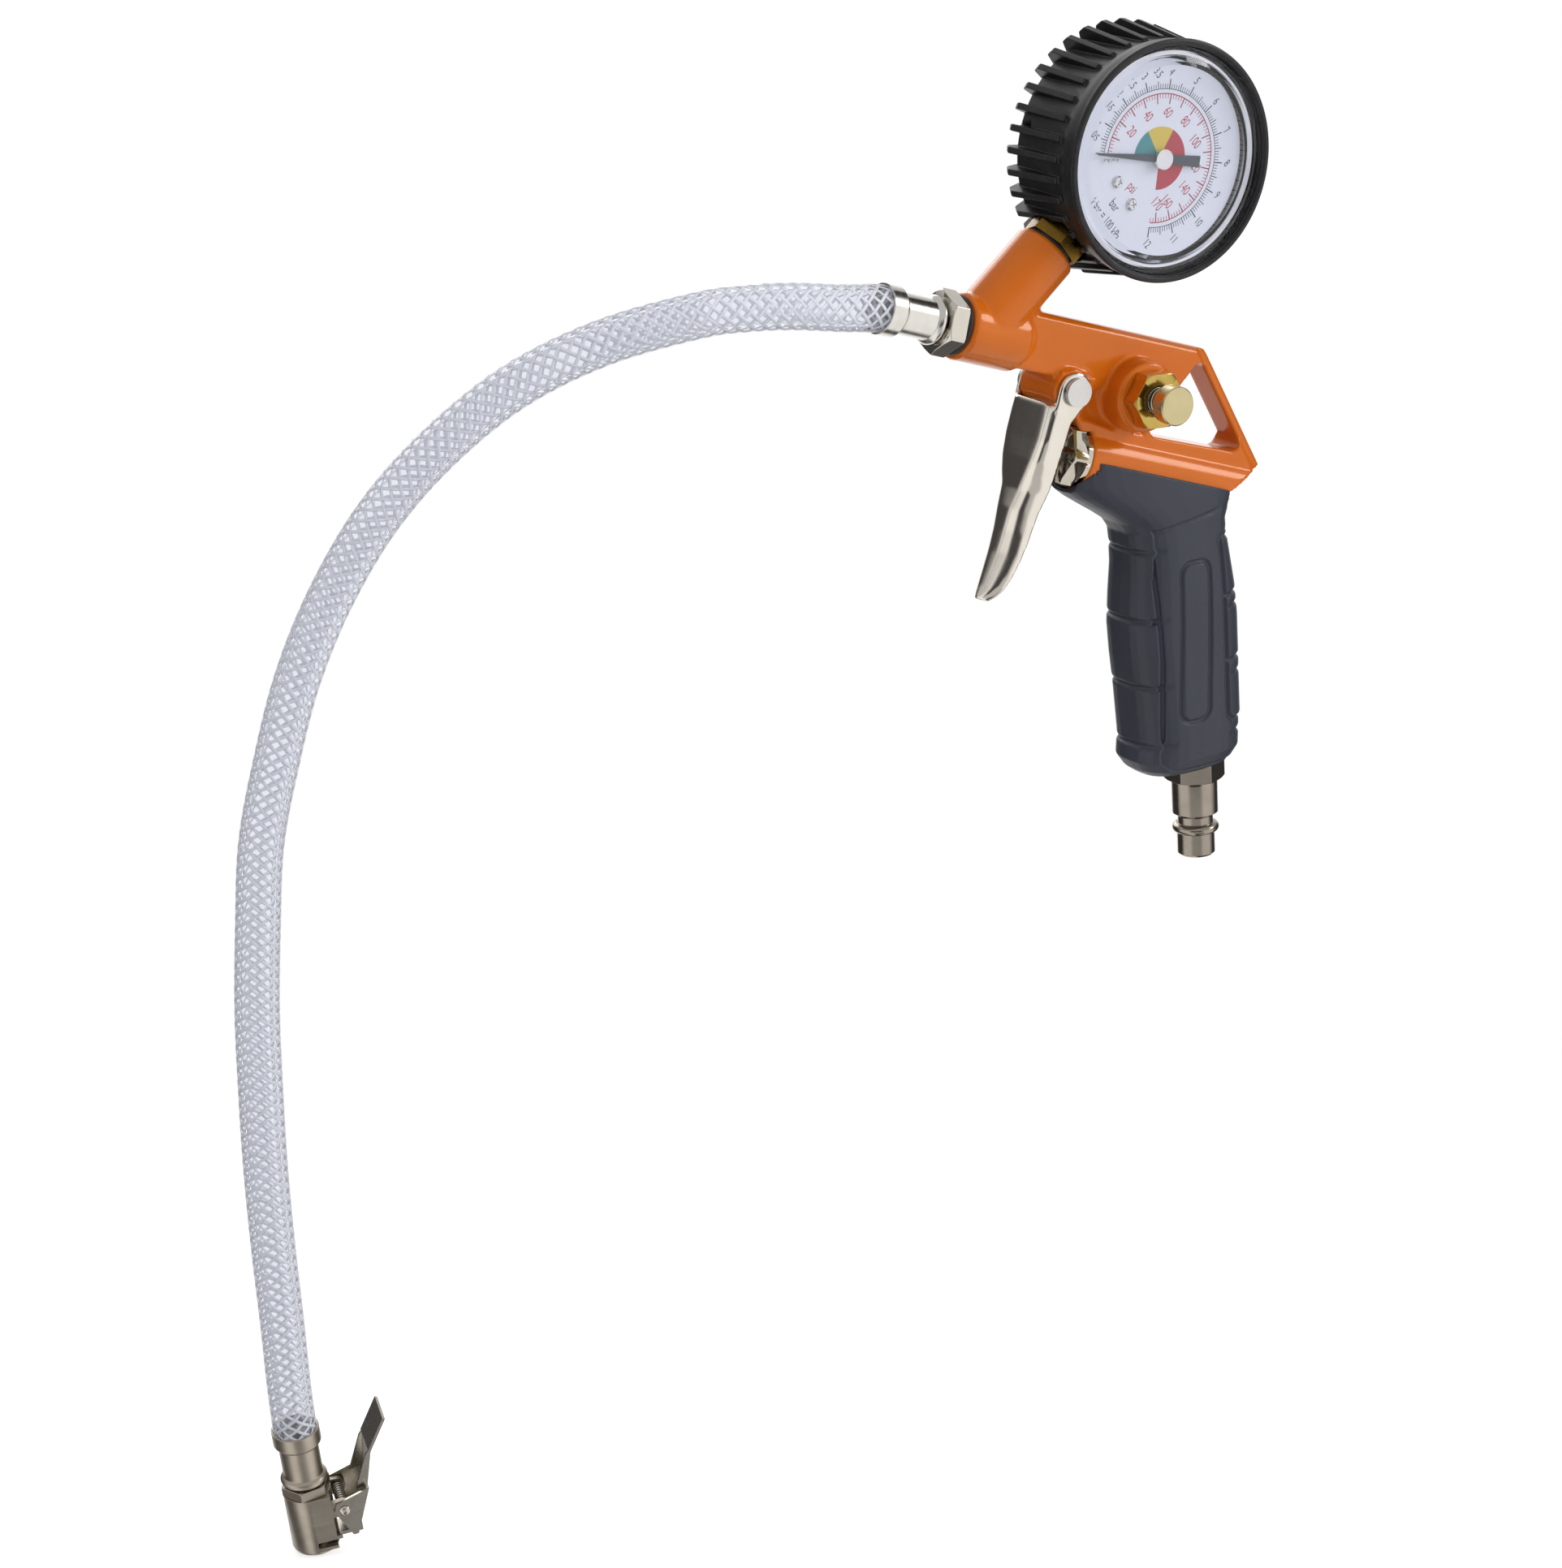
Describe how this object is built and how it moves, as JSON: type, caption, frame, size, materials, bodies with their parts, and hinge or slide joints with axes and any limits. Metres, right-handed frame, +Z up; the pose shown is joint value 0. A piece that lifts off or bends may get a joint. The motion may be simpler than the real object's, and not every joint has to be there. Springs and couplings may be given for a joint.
{
  "type": "tyre inflator with gauge",
  "caption": "Hand-held trigger inflator with a dial gauge in a ribbed boot, a bleed button, a hanging hole, a short braided hose and a clip-on valve chuck",
  "frame": {"origin": "middle of the inlet plug's sealing nose, on its axis", "axes": "+Z up along the plug and grip, -X forward out of the muzzle, -Y the side that the dial faces"},
  "size_m": [0.254, 0.1712, 0.4149],
  "materials": {
    "body_casting": "glossy orange enamel on a die casting",
    "grip_sleeve": "matte charcoal moulded rubber",
    "inlet_plug": "turned and nickel plated",
    "inlet_washer": "plain sealing washer",
    "trigger_lever": "polished nickel plate on pressed steel",
    "trigger_pin": "turned, flat head",
    "trigger_clip": "stamped spring steel",
    "valve_nut": "nickel plated",
    "valve_nut_seal": "moulded",
    "stem_seal": "moulded",
    "valve_stem": "ground",
    "valve_poppet": "turned",
    "poppet_seal": "moulded",
    "valve_spring": "drawn spring wire",
    "bleed_nut": "yellow zinc passivated",
    "bleed_button": "yellow zinc passivated, faced",
    "bleed_spring": "drawn spring wire",
    "bleed_seal": "moulded",
    "bleed_poppet": "turned",
    "hose_fitting": "nickel plated",
    "fitting_seal": "moulded",
    "gun_ferrule": "drawn, plated and crimped",
    "hose": "clear PVC with a white braid",
    "chuck_ferrule": "drawn, plated and crimped",
    "chuck_tail": "nickel plated",
    "chuck_body": "satin nickel plate on brass",
    "chuck_seal": "moulded",
    "chuck_depressor": "turned",
    "chuck_rivet": "domed heads",
    "clip_lever": "pressed and nickel plated",
    "clip_jaw": "pressed and nickel plated",
    "clip_spring": "drawn spring wire",
    "gauge_socket": "turned and milled",
    "gauge_seal": "plain sealing washer",
    "gauge_case": "black stoved enamel on drawn steel",
    "case_screws": "zinc plated",
    "gauge_boot": "matte black moulded rubber",
    "gauge_lens": "clear polycarbonate",
    "gauge_dial": "white print ground",
    "dial_screws": "zinc plated",
    "stop_pins": "ball headed",
    "back_plate": "stamped",
    "front_plate": "stamped",
    "plate_pillars": "turned",
    "plate_screws": "turned",
    "movement_screws": "turned",
    "sector_gear": "cut teeth",
    "pinion": "cut teeth",
    "hairspring": "bronze strip",
    "pointer": "dark grey paint",
    "pointer_hub": "polished",
    "bourdon_tube": "drawn and flattened",
    "bourdon_tip": "milled",
    "bourdon_link": "stamped"
  },
  "bodies": {
    "gun": {"body_casting": "body_casting", "grip_sleeve": "grip_sleeve", "inlet_plug": "inlet_plug", "inlet_washer": "inlet_washer", "trigger_pin": "trigger_pin", "trigger_clip": "trigger_clip", "valve_nut": "valve_nut", "valve_nut_seal": "valve_nut_seal", "stem_seal": "stem_seal", "valve_spring": "valve_spring", "bleed_nut": "bleed_nut", "bleed_spring": "bleed_spring", "hose_fitting": "hose_fitting", "fitting_seal": "fitting_seal", "gun_ferrule": "gun_ferrule", "hose": "hose", "chuck_ferrule": "chuck_ferrule", "chuck_tail": "chuck_tail", "chuck_body": "chuck_body", "chuck_seal": "chuck_seal", "chuck_depressor": "chuck_depressor", "chuck_rivet": "chuck_rivet", "clip_spring": "clip_spring", "gauge_socket": "gauge_socket", "gauge_seal": "gauge_seal", "gauge_case": "gauge_case", "case_screws": "case_screws", "gauge_boot": "gauge_boot", "gauge_lens": "gauge_lens", "gauge_dial": "gauge_dial", "dial_screws": "dial_screws", "stop_pins": "stop_pins", "back_plate": "back_plate", "front_plate": "front_plate", "plate_pillars": "plate_pillars", "plate_screws": "plate_screws", "movement_screws": "movement_screws", "hairspring": "hairspring", "bourdon_tube": "bourdon_tube"},
    "trigger": {"trigger_lever": "trigger_lever"},
    "valve_stem": {"valve_stem": "valve_stem", "valve_poppet": "valve_poppet", "poppet_seal": "poppet_seal"},
    "bleed_button": {"bleed_button": "bleed_button", "bleed_poppet": "bleed_poppet", "bleed_seal": "bleed_seal"},
    "clip_lever": {"clip_lever": "clip_lever"},
    "clip_jaw": {"clip_jaw": "clip_jaw"},
    "sector": {"sector_gear": "sector_gear"},
    "pointer": {"pinion": "pinion", "pointer": "pointer", "pointer_hub": "pointer_hub"},
    "link": {"bourdon_link": "bourdon_link", "bourdon_tip": "bourdon_tip"}
  },
  "joints": [
    {"name": "valve_slide", "type": "slide", "parent": "gun", "child": "valve_stem", "axis": [0.9397, 0, -0.342], "range_m": [0, 0.00288], "stiffness_N_per_m": 1250, "springref_m": -0.001, "deforming": ["valve_spring"]},
    {"name": "trigger_hinge", "type": "hinge", "parent": "gun", "child": "trigger", "pos_m": [-0.04089, 0, 0.13113], "axis": [0, -1, 0], "range_deg": [0, 10]},
    {"name": "bleed_slide", "type": "slide", "parent": "gun", "child": "bleed_button", "axis": [0, 1, 0], "range_m": [0, 0.0025], "stiffness_N_per_m": 1500, "springref_m": -0.0007, "deforming": ["bleed_spring"]},
    {"name": "jaw_slide", "type": "slide", "parent": "gun", "child": "clip_jaw", "axis": [0.9215, -0.3678, 0.1246], "range_m": [0, 0.00278]},
    {"name": "clip_hinge", "type": "hinge", "parent": "gun", "child": "clip_lever", "pos_m": [-0.19618, 0.13516, -0.17837], "axis": [-0.3383, -0.9179, -0.2074], "range_deg": [0, 20], "stiffness_Nm_per_rad": 0.05, "springref_deg": -11.46},
    {"name": "link_slide", "type": "slide", "parent": "gun", "child": "link", "axis": [-0.7934, 0, -0.6088], "range_m": [0, 0.00196], "stiffness_N_per_m": 1000, "springref_m": -0.0001},
    {"name": "sector_turn", "type": "hinge", "parent": "gun", "child": "sector", "pos_m": [-0.02333, 0, 0.18134], "axis": [0, -1, 0], "range_deg": [0, 27.05]},
    {"name": "pointer_turn", "type": "hinge", "parent": "gun", "child": "pointer", "pos_m": [-0.0146, 0, 0.18804], "axis": [0, 1, 0], "range_deg": [0, 270]}
  ],
  "couplings": [
    {"joint": "trigger_hinge", "follows": "valve_slide", "rad_per_m": 60.6},
    {"joint": "clip_hinge", "follows": "jaw_slide", "rad_per_m": 125.3},
    {"joint": "sector_turn", "follows": "link_slide", "rad_per_m": 240.3},
    {"joint": "pointer_turn", "follows": "link_slide", "rad_per_m": 2403}
  ]
}
